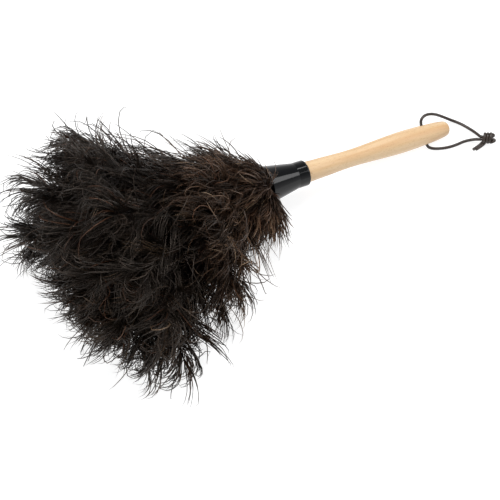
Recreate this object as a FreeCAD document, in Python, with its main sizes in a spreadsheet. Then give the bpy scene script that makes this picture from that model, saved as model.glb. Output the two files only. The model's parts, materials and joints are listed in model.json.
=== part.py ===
import FreeCAD, Part
import math
import os

import Sketcher

# Feather duster lying on a flat surface: a turned beech handle, a tapered moulded ferrule, four
# rows of ostrich plumes bound round the handle's tenon, and a cord loop through the handle's end.
#
# Frame: +X runs along the handle to its tip, +Z is up, and the surface it lies on is z = 0.
# The handle and ferrule share an axis that rises lie_angle degrees towards the feathers, so the
# duster rests on the handle's end and on the tips of its lower plumes. The origin is the middle
# of the underside of the whole duster, without its cord.

Vector = FreeCAD.Vector
Rotation = FreeCAD.Rotation
Placement = FreeCAD.Placement

SIZES = {
    # how it lies
    "lie_angle": 7.0,
    # handle: widths are diameters, places are measured from the ferrule's end face
    "handle_length": 181.0,
    "shoulder_width": 22.6,
    "neck_width": 20.6,
    "neck_place": 26.0,
    "waist_width": 18.8,
    "waist_place": 51.0,
    "swell_width": 21.0,
    "swell_place": 86.0,
    "grip_width": 23.6,
    "grip_place": 123.0,
    "back_width": 22.1,
    "back_place": 148.0,
    "knob_width": 19.8,
    "knob_place": 166.0,
    "tip_width": 14.0,
    "tip_round": 5.5,
    "tenon_width": 12.0,
    "tenon_length": 40.0,
    # cross hole for the cord, measured from the handle's tip, and rolled about the handle's axis
    "hole_width": 5.0,
    "hole_setback": 31.5,
    "hole_round": 0.8,
    "hole_roll": 38.0,
    # ferrule
    "ferrule_length": 47.0,
    "ferrule_wall": 1.5,
    "ferrule_end_wall": 3.0,
    "band_width": 27.8,
    "band_length": 13.0,
    "band_round": 2.0,
    "mouth_round": 0.6,
    "mouth_gap": 0.17,
    "fit_gap": 0.1,
    # plumes
    "quill_width": 2.2,
    "quill_gap": 0.15,
    "row_gap": 0.9,
    "vane_thickness": 2.4,
    "vane_share": 0.8,
    "droop": 34.0,
    "droop_length": 255.0,
    "lean": 8.0,
    # bindings
    "twine_width": 1.0,
    "twine_pitch": 1.2,
    "twine_turns": 4,
    "twine_gap": 0.1,
    # hanging cord
    "cord_width": 3.3,
    "knot_length": 20.5,
    "knot_breadth": 14.0,
    "knot_height": 11.0,
}

# Each row of plumes: its number of plumes, the turn of its first one round the axis from the top,
# how deep its quills sit in the ferrule, its length from the mouth, how far its tips spread from
# the axis in degrees, the height its lowest tips rest at, its widest vane, and how much longer it
# is on the fuller side.
ROWS = {
    "inner": {"count": 9, "first": 0, "depth": 30, "length": 262, "spread": 32, "rest": 24,
              "vane": 26, "fuller": 0.0},
    "middle": {"count": 12, "first": 0, "depth": 22, "length": 264, "spread": 56, "rest": 13,
               "vane": 32, "fuller": 0.02},
    "outer": {"count": 15, "first": 12, "depth": 14, "length": 246, "spread": 82, "rest": 1.2,
              "vane": 34, "fuller": 0.06},
    "collar": {"count": 12, "first": 15, "depth": 5, "length": 122, "spread": 98, "rest": 4.0,
               "vane": 26, "fuller": 0.33},
}
ROW_NAMES = list(ROWS)

# A vane is shaped by this many sections between the ferrule's mouth and its tip. Its outline is a
# leaf, widest at about two thirds of its length, and the tip is cut short of the leaf's point.
VANE_SECTIONS = 12
BLUNT = 0.985
LEAF_SKEW = 1.5
LEAF_FULLNESS = 0.8

# A vane narrower than this share of its widest also thins towards its tip.
THINS_BELOW = 0.25

# How finely a plume's rest height is found, and how far apart the points are that give its
# shaft's direction.
LIFT_STEPS = 30
SHAFT_STEP = 0.5

# Each arc of the cord's tube starts at this share of the shorter run beside it.
ARC_SHARE = 0.45

# Lengths closer than this are the same, and volumes may differ by this share.
SAME_LENGTH = 0.01
SAME_VOLUME = 0.02

# The cord's two legs, from the middle of the cross hole to the knot, as places from that middle.
# The first point after the middle is worked out along the hole.
UPPER_EXIT = 13.0
UPPER_LEG = [
    (4.5, 14.2, 11.6),
    (12.0, 16.6, 11.2),
    (22.0, 16.8, 6.8),
    (32.0, 16.2, -1.2),
    (42.0, 12.4, -8.4),
    (51.0, 3.0, -10.1),
    (57.2, -8.0, -10.1),
    (59.8, -18.0, -9.3),
    (60.6, -26.6, -5.8),
]
LOWER_EXIT = 12.5
LOWER_LEG = [
    (3.2, -13.6, -10.1),
    (10.5, -17.6, -10.1),
    (20.5, -20.6, -10.1),
    (31.0, -21.6, -10.1),
    (41.0, -21.0, -10.1),
    (49.0, -23.6, -9.4),
    (55.8, -29.6, -7.4),
]
KNOT_CENTRE = (61.5, -32.0, -6.1)
KNOT_TURN = 8.0

doc = FreeCAD.newDocument("feather_duster")
sizes = doc.addObject("Spreadsheet::Sheet", "sizes")


def fill_sheet():
    """Writes every driving dimension to the spreadsheet, each with its alias."""
    cells = dict(SIZES)
    for row, numbers in ROWS.items():
        for name, number in numbers.items():
            cells[f"{row}_{name}"] = number
    for line, (alias, number) in enumerate(cells.items(), start=1):
        sizes.set(f"A{line}", alias)
        sizes.set(f"B{line}", str(number))
        sizes.setAlias(f"B{line}", alias)
    doc.recompute()


def value(alias):
    """The number in the spreadsheet's cell with that alias."""
    return float(sizes.get(alias))


def ring_expression(row):
    """The radius of the circle that a row's quills stand on, as an expression."""
    return (
        "sizes.tenon_width / 2 + sizes.quill_gap + sizes.quill_width / 2"
        f" + {ROW_NAMES.index(row)} * (sizes.quill_width + sizes.row_gap)"
    )


def ring(row):
    """The radius of the circle that a row's quills stand on."""
    return float(sizes.evalExpression(ring_expression(row)))


# ---------------------------------------------------------------- sketches in bodies


def origin_plane(body, role):
    """One of the body's own origin planes."""
    return next(plane for plane in body.Origin.OriginFeatures if plane.Role == role)


def new_sketch(body, name, role):
    """An empty sketch on one of the body's origin planes."""
    sketch = body.newObject("Sketcher::SketchObject", name)
    sketch.AttachmentSupport = (origin_plane(body, role), "")
    sketch.MapMode = "FlatFace"
    return sketch


def circle_sketch(body, name, role, place, width):
    """A circle about the plane's normal, with its place along the normal and its width bound."""
    sketch = new_sketch(body, name, role)
    sketch.setExpression("AttachmentOffset.Base.z", place)
    sketch.addGeometry(Part.Circle(Vector(0, 0, 0), Vector(0, 0, 1), 5.0), False)
    sketch.addConstraint(Sketcher.Constraint("Coincident", 0, 3, -1, 1))
    sketch.addConstraint(Sketcher.Constraint("Diameter", 0, 10.0))
    sketch.setExpression("Constraints[1]", width)
    return sketch


def outline_sketch(body, name, role, corners):
    """A closed outline of straight lines, whose corners are bound to pairs of expressions."""
    sketch = new_sketch(body, name, role)
    points = []
    for across, up in corners:
        points.append(Vector(float(sketch.evalExpression(across)), float(sketch.evalExpression(up)), 0))
    count = len(points)
    for index in range(count):
        sketch.addGeometry(Part.LineSegment(points[index], points[(index + 1) % count]), False)
    for index in range(count):
        sketch.addConstraint(Sketcher.Constraint("Coincident", index, 2, (index + 1) % count, 1))
    for index, (across, up) in enumerate(corners):
        for kind, expression, number in (("X", across, points[index].x), ("Y", up, points[index].y)):
            if expression == "0":
                axis = -2 if kind == "X" else -1
                sketch.addConstraint(Sketcher.Constraint("PointOnObject", index, 1, axis))
            else:
                held = Sketcher.Constraint(f"Distance{kind}", -1, 1, index, 1, number)
                sketch.setExpression(f"Constraints[{sketch.addConstraint(held)}]", expression)
    return sketch


def round_edges(body, base, name, radius, wanted):
    """Rounds the edges of the base feature that the test picks."""
    doc.recompute()
    names = [
        f"Edge{number}"
        for number, edge in enumerate(base.Shape.Edges, start=1)
        if wanted(edge)
    ]
    if not names:
        raise RuntimeError(f"{name}: no edge to round")
    fillet = body.newObject("PartDesign::Fillet", name)
    fillet.Base = (base, names)
    fillet.setExpression("Radius", radius)
    return fillet


def at_place(edge, place):
    """True for an edge that lies wholly at that place along the body's X axis."""
    box = edge.BoundBox
    return abs(box.XMin - place) < SAME_LENGTH and abs(box.XMax - place) < SAME_LENGTH


def widest(edge):
    """The furthest that an edge gets from the body's X axis."""
    return max(abs(edge.BoundBox.YMax), abs(edge.BoundBox.ZMax))


# ---------------------------------------------------------------- handle


def make_handle():
    """The turned handle: lofted swells, a rounded tip, a tenon and a cross hole for the cord.

    Its own X axis runs from the ferrule's end face to the tip, and its Y axis is the hole's.
    """
    body = doc.addObject("PartDesign::Body", "handle_body")
    body.Label = "handle"
    stations = [("0", "sizes.shoulder_width")]
    for name in ("neck", "waist", "swell", "grip", "back", "knob"):
        stations.append((f"sizes.{name}_place", f"sizes.{name}_width"))
    stations.append(("sizes.handle_length", "sizes.tip_width"))
    sections = []
    for number, (place, width) in enumerate(stations):
        sections.append(circle_sketch(body, f"handle_section_{number}", "YZ_Plane", place, width))
    doc.recompute()
    turned = body.newObject("PartDesign::AdditiveLoft", "handle_turned")
    turned.Profile = sections[0]
    turned.Sections = sections[1:]
    turned.Ruled = False
    rounded = round_edges(
        body, turned, "handle_tip_round", "sizes.tip_round",
        lambda edge: at_place(edge, value("handle_length")),
    )
    tenon_circle = circle_sketch(body, "tenon_circle", "YZ_Plane", "0", "sizes.tenon_width")
    tenon = body.newObject("PartDesign::Pad", "handle_tenon")
    tenon.Profile = tenon_circle
    tenon.setExpression("Length", "sizes.tenon_length")
    tenon.Reversed = True
    doc.recompute()
    if tenon.Shape.Volume <= rounded.Shape.Volume:
        raise RuntimeError("the tenon adds nothing")
    hole_circle = new_sketch(body, "hole_circle", "XZ_Plane")
    hole_circle.addGeometry(Part.Circle(Vector(10, 0, 0), Vector(0, 0, 1), 2.0), False)
    hole_circle.addConstraint(Sketcher.Constraint("PointOnObject", 0, 3, -1))
    hole_circle.addConstraint(Sketcher.Constraint("DistanceX", -1, 1, 0, 3, 10.0))
    hole_circle.addConstraint(Sketcher.Constraint("Diameter", 0, 4.0))
    hole_circle.setExpression("Constraints[1]", "sizes.handle_length - sizes.hole_setback")
    hole_circle.setExpression("Constraints[2]", "sizes.hole_width")
    hole = body.newObject("PartDesign::Pocket", "handle_hole")
    hole.Profile = hole_circle
    hole.Type = "ThroughAll"
    hole.Midplane = True
    doc.recompute()
    if hole.Shape.Volume >= tenon.Shape.Volume:
        raise RuntimeError("the cross hole cuts nothing")
    hole_place = value("handle_length") - value("hole_setback")
    half_hole = value("hole_width") / 2
    reach = half_hole + value("hole_round")
    round_edges(
        body, hole, "handle_hole_round", "sizes.hole_round",
        lambda edge: edge.BoundBox.XMin > hole_place - reach
        and edge.BoundBox.XMax < hole_place + reach
        and edge.BoundBox.XLength > half_hole
        and edge.BoundBox.ZLength > half_hole,
    )
    return body


# ---------------------------------------------------------------- ferrule


def mouth_inside():
    """The radius inside the ferrule's mouth, as an expression.

    The bore narrows from here to the band, and it still clears the collar row's quills where they
    end, at their own depth.
    """
    quills = f"{ring_expression('collar')} + sizes.quill_width / 2 + sizes.mouth_gap"
    inside_band = "(sizes.band_width / 2 - sizes.ferrule_wall)"
    depth_share = "(sizes.collar_depth / (sizes.ferrule_length - sizes.band_length))"
    return f"(({quills} - {inside_band} * {depth_share}) / (1 - {depth_share}))"


def make_ferrule():
    """The moulded ferrule, turned about its own X axis, which runs from its mouth to the handle."""
    body = doc.addObject("PartDesign::Body", "ferrule_body")
    body.Label = "ferrule"
    inside_band = "sizes.band_width / 2 - sizes.ferrule_wall"
    band_start = "sizes.ferrule_length - sizes.band_length"
    bore = "sizes.tenon_width / 2 + sizes.fit_gap"
    corners = [
        ("0", mouth_inside()),
        ("0", f"{mouth_inside()} + sizes.ferrule_wall"),
        (band_start, "sizes.band_width / 2"),
        ("sizes.ferrule_length", "sizes.band_width / 2"),
        ("sizes.ferrule_length", bore),
        ("sizes.ferrule_length - sizes.ferrule_end_wall", bore),
        ("sizes.ferrule_length - sizes.ferrule_end_wall", inside_band),
        (band_start, inside_band),
    ]
    outline = outline_sketch(body, "ferrule_outline", "XZ_Plane", corners)
    doc.recompute()
    shell = body.newObject("PartDesign::Revolution", "ferrule_shell")
    shell.Profile = outline
    shell.ReferenceAxis = (outline, ["H_Axis"])
    shell.Angle = 360.0
    band_radius = value("band_width") / 2
    rim = round_edges(
        body, shell, "ferrule_band_round", "sizes.band_round",
        lambda edge: at_place(edge, value("ferrule_length"))
        and abs(widest(edge) - band_radius) < SAME_LENGTH,
    )
    round_edges(
        body, rim, "ferrule_mouth_round", "sizes.mouth_round",
        lambda edge: at_place(edge, 0.0),
    )
    return body


# ---------------------------------------------------------------- bindings


def make_binding(row, next_row):
    """Twine wound round a row's quills, in the length of them that the next row leaves bare.

    Each turn is a closed ring, and a binding is a group of them.
    """
    turns = int(value("twine_turns"))
    middle = (value(f"{row}_depth") + value(f"{next_row}_depth")) / 2
    rings = []
    for turn in range(turns):
        twine = doc.addObject("Part::Torus", f"{row}_twine_{turn + 1}")
        round_quills = f"{ring_expression(row)} + sizes.quill_width / 2 + sizes.twine_gap"
        twine.setExpression("Radius1", f"{round_quills} + sizes.twine_width / 2")
        twine.setExpression("Radius2", "sizes.twine_width / 2")
        place = middle + (turn - (turns - 1) / 2) * value("twine_pitch")
        twine.Placement = Placement(Vector(place, 0, 0), Rotation(Vector(0, 1, 0), 90))
        rings.append(twine)
    binding = doc.addObject("Part::Compound", f"{row}_twine")
    binding.Links = rings
    binding.Label = f"{row}_binding"
    return binding


# ---------------------------------------------------------------- plumes


class Lie:
    """Where the duster's axis is, and the directions out of its mouth, up from it and sideways."""

    def __init__(self, mouth):
        angle = math.radians(value("lie_angle"))
        self.mouth = mouth
        self.out = Vector(-math.cos(angle), 0, math.sin(angle))
        self.up = Vector(math.sin(angle), 0, math.cos(angle))
        self.side = Vector(0, -1, 0)


def arc_point(lie, root, length, across, rise, along):
    """A point of a plume's shaft: one arc that turns by across and rise degrees in its length."""
    turn = math.radians(math.hypot(across, rise))
    if turn == 0:
        return root + lie.out * along
    way = lie.side * across + lie.up * rise
    way.normalize()
    radius = length / turn
    swing = along / radius
    return root + lie.out * (radius * math.sin(swing)) + way * (radius * (1 - math.cos(swing)))


def plume_arc(lie, row, turn):
    """The root, length and turns of the plume that stands at that turn round the axis, in degrees.

    The plumes of the lower half splay evenly across the surface that they lie on, and each of
    them is lifted until its tip is no lower than its row's rest height.
    """
    angle = math.radians(turn)
    ring_way = lie.up * math.cos(angle) + lie.side * math.sin(angle)
    root = lie.mouth + ring_way * ring(row)
    length = value(f"{row}_length") * (1 + value(f"{row}_fuller") * math.sin(angle))
    lower_half = 90 < turn % 360 < 270
    splay = (180 - turn % 360) / 90 if lower_half else math.sin(angle)
    across = value(f"{row}_spread") * splay + value("lean")
    rise = value(f"{row}_spread") * math.cos(angle) - value("droop") * length / value("droop_length")
    rest = value(f"{row}_rest")
    if arc_point(lie, root, length, across, rise, length).z < rest:
        low, high = rise, value("droop")
        for _ in range(LIFT_STEPS):
            middle = (low + high) / 2
            if arc_point(lie, root, length, across, middle, length).z < rest:
                low = middle
            else:
                high = middle
        rise = high
    return root, length, across, rise


def vane_frame(lie, row, turn, share):
    """The place, width direction, shaft direction and room to the neighbours, at a share of a plume."""
    half_step = 180 / value(f"{row}_count")
    points = []
    for at in (turn, turn - half_step, turn + half_step):
        root, length, across, rise = plume_arc(lie, row, at)
        points.append(arc_point(lie, root, length, across, rise, share * length))
    root, length, across, rise = plume_arc(lie, row, turn)
    behind = arc_point(lie, root, length, across, rise, share * length - SHAFT_STEP)
    ahead = arc_point(lie, root, length, across, rise, share * length + SHAFT_STEP)
    shaft = ahead - behind
    shaft.normalize()
    width_way = points[2] - points[1]
    room = width_way.Length
    width_way = width_way - shaft * width_way.dot(shaft)
    width_way.normalize()
    return points[0], width_way, shaft, room


def leaf(share):
    """A vane's width as a share of its widest, at a share of the plume's length."""
    return math.sin(math.pi * (share * BLUNT) ** LEAF_SKEW) ** LEAF_FULLNESS


def section_placement(place, width_way, shaft):
    """A section whose X axis is the vane's width and whose Z axis is the shaft."""
    return Placement(place, Rotation(width_way, shaft.cross(width_way), shaft, "ZXY"))


def skin(edges):
    """A solid whose sides are ruled from each closed edge to the next, flat at both ends.

    A loft guesses how flat, turning sections follow each other, and can turn itself inside out.
    """
    faces = [Part.Face(Part.Wire(edges[0])), Part.Face(Part.Wire(edges[-1]))]
    for near, far in zip(edges, edges[1:]):
        faces.append(Part.makeRuledSurface(near, far))
    shell = Part.Shell(faces)
    shell.sewShape()
    solid = Part.Solid(shell)
    if solid.Volume < 0:
        solid.reverse()
    return solid


def make_plume(lie, row, number):
    """One plume: a round quill in the ferrule that widens into a thin leaf-shaped vane."""
    turn = value(f"{row}_first") + 360 * number / value(f"{row}_count")
    name = f"{row}_plume_{number + 1}"
    mouth_place, width_way, _, _ = vane_frame(lie, row, turn, 0.0)
    sections = []
    depth = value(f"{row}_depth")
    for step, back in enumerate((depth, depth / 2, 0.0)):
        circle = doc.addObject("Part::Circle", f"{name}_quill_{step}")
        circle.setExpression("Radius", "sizes.quill_width / 2")
        circle.Placement = section_placement(mouth_place - lie.out * back, width_way, lie.out)
        sections.append(circle)
    widest_vane = value(f"{row}_vane")
    for step in range(1, VANE_SECTIONS + 1):
        share = step / VANE_SECTIONS
        place, width_way, shaft, room = vane_frame(lie, row, turn, share)
        vane = min(leaf(share), value("vane_share") * room / widest_vane)
        vane = max(vane, value("vane_thickness") / widest_vane)
        ellipse = doc.addObject("Part::Ellipse", f"{name}_vane_{step}")
        ellipse.setExpression("MajorRadius", f"sizes.{row}_vane * {vane:.5f} / 2")
        thinning = min(1.0, vane / THINS_BELOW)
        ellipse.setExpression("MinorRadius", f"sizes.vane_thickness * {thinning:.5f} / 2")
        ellipse.Placement = section_placement(place, width_way, shaft)
        sections.append(ellipse)
    doc.recompute()
    plume = doc.addObject("Part::Feature", name)
    plume.Shape = skin([section.Shape.Edges[0] for section in sections])
    plume.Label = f"{row}_plume_{number + 1:02d}"
    return plume


# ---------------------------------------------------------------- hanging cord


def cord_wire(points):
    """Straight runs joined by tangent arcs, each as large as its two runs allow."""
    edges = []
    radii = []
    start = points[0]
    for index in range(1, len(points) - 1):
        corner = points[index]
        back = points[index - 1] - corner
        ahead = points[index + 1] - corner
        shorter = min(back.Length, ahead.Length)
        half_turn = (math.pi - back.getAngle(ahead)) / 2
        reach = ARC_SHARE * shorter
        radius = reach / math.tan(half_turn)
        back.normalize()
        ahead.normalize()
        arc_start = corner + back * reach
        arc_end = corner + ahead * reach
        inward = back + ahead
        inward.normalize()
        arc_middle = corner + inward * (radius / math.cos(half_turn) - radius)
        edges.append(Part.LineSegment(start, arc_start).toShape())
        edges.append(Part.Arc(arc_start, arc_middle, arc_end).toShape())
        radii.append(round(radius, 1))
        start = arc_end
    edges.append(Part.LineSegment(start, points[-1]).toShape())
    return Part.Wire(edges), radii


def make_cord(name, points):
    """A leg of the cord: a round tube along its route."""
    wire, radii = cord_wire(points)
    first = points[1] - points[0]
    section = Part.Wire(Part.Circle(points[0], first, value("cord_width") / 2).toShape())
    tube = wire.makePipeShell([section], True, True)
    cord = doc.addObject("Part::Feature", name)
    cord.Shape = tube
    cord.Label = name
    full = math.pi * value("cord_width") ** 2 / 4 * wire.Length
    print(f"{name}: length {wire.Length:.1f} mm, radii {radii}, volume {tube.Volume:.0f} of {full:.0f}")
    if abs(tube.Volume - full) > SAME_VOLUME * full:
        raise RuntimeError(f"{name}: its volume isn't its section times its length")
    return cord


def make_knot():
    """The overhand knot that joins the two legs, as one closed lump, and its turn on the surface."""
    knot = doc.addObject("Part::Ellipsoid", "loop_knot")
    knot.setExpression("Radius1", "sizes.knot_height / 2")
    knot.setExpression("Radius2", "sizes.knot_length / 2")
    knot.setExpression("Radius3", "sizes.knot_breadth / 2")
    knot.Label = "loop_knot"
    return knot


# ---------------------------------------------------------------- assembly


def check(parts):
    """Stops if anything in the document failed, or a sub-part isn't one or more valid solids."""
    for thing in doc.Objects:
        for fault in ("Invalid", "Error"):
            if fault in thing.State:
                raise RuntimeError(f"{thing.Name}: {thing.State}")
    for part in parts:
        shape = part.Shape
        if shape.isNull() or not shape.isValid() or not shape.Solids or shape.Volume <= 0:
            raise RuntimeError(f"{part.Label}: its shape isn't a valid solid")


def main():
    """Builds, places, checks and writes every sub-part."""
    fill_sheet()

    # The handle is laid at its angle with its lowest point on the surface.
    handle = make_handle()
    ferrule = make_ferrule()
    doc.recompute()
    tilt = Rotation(Vector(0, 1, 0), value("lie_angle"))
    roll = Rotation(Vector(1, 0, 0), value("hole_roll"))
    seat = tilt.multVec(Vector(value("ferrule_length"), 0, 0))
    handle.Placement = Placement(seat, tilt.multiply(roll))
    doc.recompute()
    lowest = handle.Shape.optimalBoundingBox(False).ZMin
    lie = Lie(Vector(0, 0, -lowest))
    axis = Placement(lie.mouth, tilt)
    handle.Placement = Placement(lie.mouth + seat, tilt.multiply(roll))
    ferrule.Placement = axis
    parts = [handle, ferrule]

    # The bindings and the plumes stand round the same axis.
    for row, next_row in zip(ROW_NAMES, ROW_NAMES[1:]):
        binding = make_binding(row, next_row)
        binding.Placement = axis
        parts.append(binding)
    for row in ROW_NAMES:
        for number in range(int(value(f"{row}_count"))):
            parts.append(make_plume(lie, row, number))
    doc.recompute()

    # The origin goes to the middle of the underside of all that isn't cord.
    box = FreeCAD.BoundBox()
    for part in parts:
        box.add(part.Shape.optimalBoundingBox(False))
    shift = Vector(-box.Center.x, -box.Center.y, -box.ZMin)
    for part in parts:
        part.Placement.Base = part.Placement.Base + shift

    # The cord's loop lies on the surface, out of both mouths of the cross hole.
    hole_place = value("ferrule_length") + value("handle_length") - value("hole_setback")
    hole = axis.multVec(Vector(hole_place, 0, 0)) + shift
    hole_way = tilt.multiply(roll).multVec(Vector(0, 1, 0))
    upper = [hole, hole + hole_way * UPPER_EXIT] + [hole + Vector(*point) for point in UPPER_LEG]
    lower = [hole, hole - hole_way * LOWER_EXIT] + [hole + Vector(*point) for point in LOWER_LEG]
    parts.append(make_cord("hang_cord_upper", upper))
    parts.append(make_cord("hang_cord_lower", lower))
    knot = make_knot()
    knot.Placement = Placement(hole + Vector(*KNOT_CENTRE), Rotation(Vector(0, 0, 1), KNOT_TURN))
    parts.append(knot)
    doc.recompute()
    check(parts)

    os.makedirs("parts", exist_ok=True)
    for part in parts:
        part.Shape.exportStep(f"parts/{part.Label}.step")
    print(f"mouth {lie.mouth + shift}, cross hole {hole}, its axis {hole_way}")
    print(f"box {box.XLength:.1f} x {box.YLength:.1f} x {box.ZLength:.1f} mm, {len(parts)} sub-parts")


main()
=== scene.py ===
"""A feather duster: ostrich plumes bound in a moulded ferrule, a turned handle and a leather loop."""

import json
import logging
import math
from dataclasses import dataclass, field
from enum import Enum
from typing import Any, Sequence

import bmesh
import bpy
import numpy as np
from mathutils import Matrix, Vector


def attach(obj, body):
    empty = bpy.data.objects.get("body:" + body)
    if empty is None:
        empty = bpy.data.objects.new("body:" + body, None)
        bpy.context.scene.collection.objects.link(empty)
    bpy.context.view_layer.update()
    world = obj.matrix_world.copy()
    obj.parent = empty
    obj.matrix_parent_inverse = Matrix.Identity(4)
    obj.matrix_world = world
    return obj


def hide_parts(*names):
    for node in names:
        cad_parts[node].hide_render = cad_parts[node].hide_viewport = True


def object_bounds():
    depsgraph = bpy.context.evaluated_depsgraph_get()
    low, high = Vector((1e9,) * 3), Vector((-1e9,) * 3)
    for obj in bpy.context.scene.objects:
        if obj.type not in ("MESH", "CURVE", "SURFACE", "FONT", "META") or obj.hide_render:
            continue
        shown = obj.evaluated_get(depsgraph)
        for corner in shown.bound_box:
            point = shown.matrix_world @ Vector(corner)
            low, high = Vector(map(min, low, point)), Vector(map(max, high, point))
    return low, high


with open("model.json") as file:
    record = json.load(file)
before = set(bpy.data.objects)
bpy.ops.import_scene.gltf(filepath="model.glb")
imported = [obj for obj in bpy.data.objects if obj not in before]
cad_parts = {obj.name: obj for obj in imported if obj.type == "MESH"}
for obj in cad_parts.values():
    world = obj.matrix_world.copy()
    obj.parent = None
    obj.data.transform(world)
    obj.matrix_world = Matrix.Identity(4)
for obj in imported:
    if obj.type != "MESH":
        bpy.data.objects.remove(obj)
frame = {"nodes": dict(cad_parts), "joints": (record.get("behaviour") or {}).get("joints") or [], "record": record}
cad_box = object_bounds()

log = logging.getLogger("feather_duster")

MM = 0.001
DOWN = np.array([0.0, 0.0, -1.0])


class Body(Enum):
    """The bodies that pieces ride on."""

    DUSTER = "duster"
    LOOP = "hang_loop"


class Slot(Enum):
    """The record's material slots."""

    HANDLE = "handle_beech"
    FERRULE = "ferrule_abs"
    FEATHER = "plume_feather"
    TWINE = "binding_twine"
    CORD = "cord_leather"


# ---------------------------------------------------------------- vectors


def unit(vectors: np.ndarray) -> np.ndarray:
    """Each vector at length 1.

    Args:
        vectors: one vector, or one in each row.
    Returns:
        The same vectors, scaled.
    """
    lengths = np.linalg.norm(vectors, axis=-1, keepdims=True)
    return vectors / np.maximum(lengths, 1e-12)


def turned(vectors: np.ndarray, axes: np.ndarray, angles: np.ndarray) -> np.ndarray:
    """Each vector turned about its own axis.

    Args:
        vectors: one vector in each row.
        axes: one unit axis in each row.
        angles: the turns in radians.
    Returns:
        The turned vectors.
    """
    cosine = np.cos(angles)[:, None]
    sine = np.sin(angles)[:, None]
    along = np.sum(axes * vectors, axis=1, keepdims=True)
    return vectors * cosine + np.cross(axes, vectors) * sine + axes * along * (1 - cosine)


# ---------------------------------------------------------------- objects


def placed(name: str, data: bpy.types.ID) -> bpy.types.Object:
    """A new object in the scene, at the origin and unturned.

    Args:
        name: its name.
        data: its mesh, curve, light or camera.
    Returns:
        The object.
    """
    made = bpy.data.objects.new(name, data)
    bpy.context.scene.collection.objects.link(made)
    return made


def face(thing: bpy.types.Object, aim: Vector, azimuth: float, elevation: float, distance: float) -> None:
    """Stands a light or a camera off a point and turns it to look there.

    Args:
        thing: the light or camera.
        aim: the point.
        azimuth: where it stands round the point, in degrees.
        elevation: how high it stands, in degrees.
        distance: how far off it stands, in metres.
    """
    turn, rise = math.radians(azimuth), math.radians(elevation)
    back = Vector((math.sin(turn) * math.cos(rise), -math.cos(turn) * math.cos(rise), math.sin(rise)))
    thing.location = aim + back * distance
    thing.rotation_mode = "QUATERNION"
    thing.rotation_quaternion = (-back).to_track_quat("-Z", "Y")


# ---------------------------------------------------------------- finishes


def colour(text: str) -> tuple[float, float, float, float]:
    """An sRGB hex colour as linear light.

    Args:
        text: the colour, such as "#e9d2ab".
    Returns:
        Red, green, blue and an alpha of 1.
    """
    channels = [int(text[place:place + 2], 16) / 255 for place in (1, 3, 5)]
    linear = [c / 12.92 if c <= 0.04045 else ((c + 0.055) / 1.055) ** 2.4 for c in channels]
    return (linear[0], linear[1], linear[2], 1.0)


def fill(tree: bpy.types.NodeTree, node: bpy.types.Node, inputs: dict[str | int, Any]) -> None:
    """Gives a node's inputs their values and links.

    Args:
        tree: the node tree that it is in.
        node: the node.
        inputs: for each input, by name or number, a value or the socket that feeds it.
    """
    for key, given in inputs.items():
        if isinstance(given, bpy.types.NodeSocket):
            tree.links.new(given, node.inputs[key])
        else:
            node.inputs[key].default_value = given


def add(
    tree: bpy.types.NodeTree,
    kind: str,
    inputs: dict[str | int, Any] | None = None,
    stops: Sequence[tuple[float, str]] = (),
    **settings: Any,
) -> bpy.types.Node:
    """Adds a shader node with its settings, values and links.

    Args:
        tree: the node tree that it joins.
        kind: its type, without the leading ShaderNode.
        inputs: what its inputs are given, as in fill.
        stops: places and hex colours, for a node with a colour ramp.
        settings: its own properties.
    Returns:
        The new node.
    """
    made = tree.nodes.new("ShaderNode" + kind)
    for name, setting in settings.items():
        setattr(made, name, setting)
    fill(tree, made, inputs or {})
    for number, (place, text) in enumerate(stops):
        elements = made.color_ramp.elements
        stop = elements[number] if number < 2 else elements.new(place)
        stop.position = place
        stop.color = colour(text)
    return made


def per_mm(*sizes: float) -> tuple[float, ...]:
    """Pattern scales that give features of these sizes in millimetres."""
    return tuple(1 / (size * MM) for size in sizes)


@dataclass(frozen=True)
class Finish:
    """What a surface is made of."""

    name: str

    def dress(self, tree: bpy.types.NodeTree, shader: bpy.types.Node) -> None:
        """Adds this finish's nodes and sets the shader's sockets."""
        raise NotImplementedError

    def material(self) -> bpy.types.Material:
        """The finish as a new material."""
        made = bpy.data.materials.new(self.name)
        made.use_nodes = True
        self.dress(made.node_tree, made.node_tree.nodes["Principled BSDF"])
        return made


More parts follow.
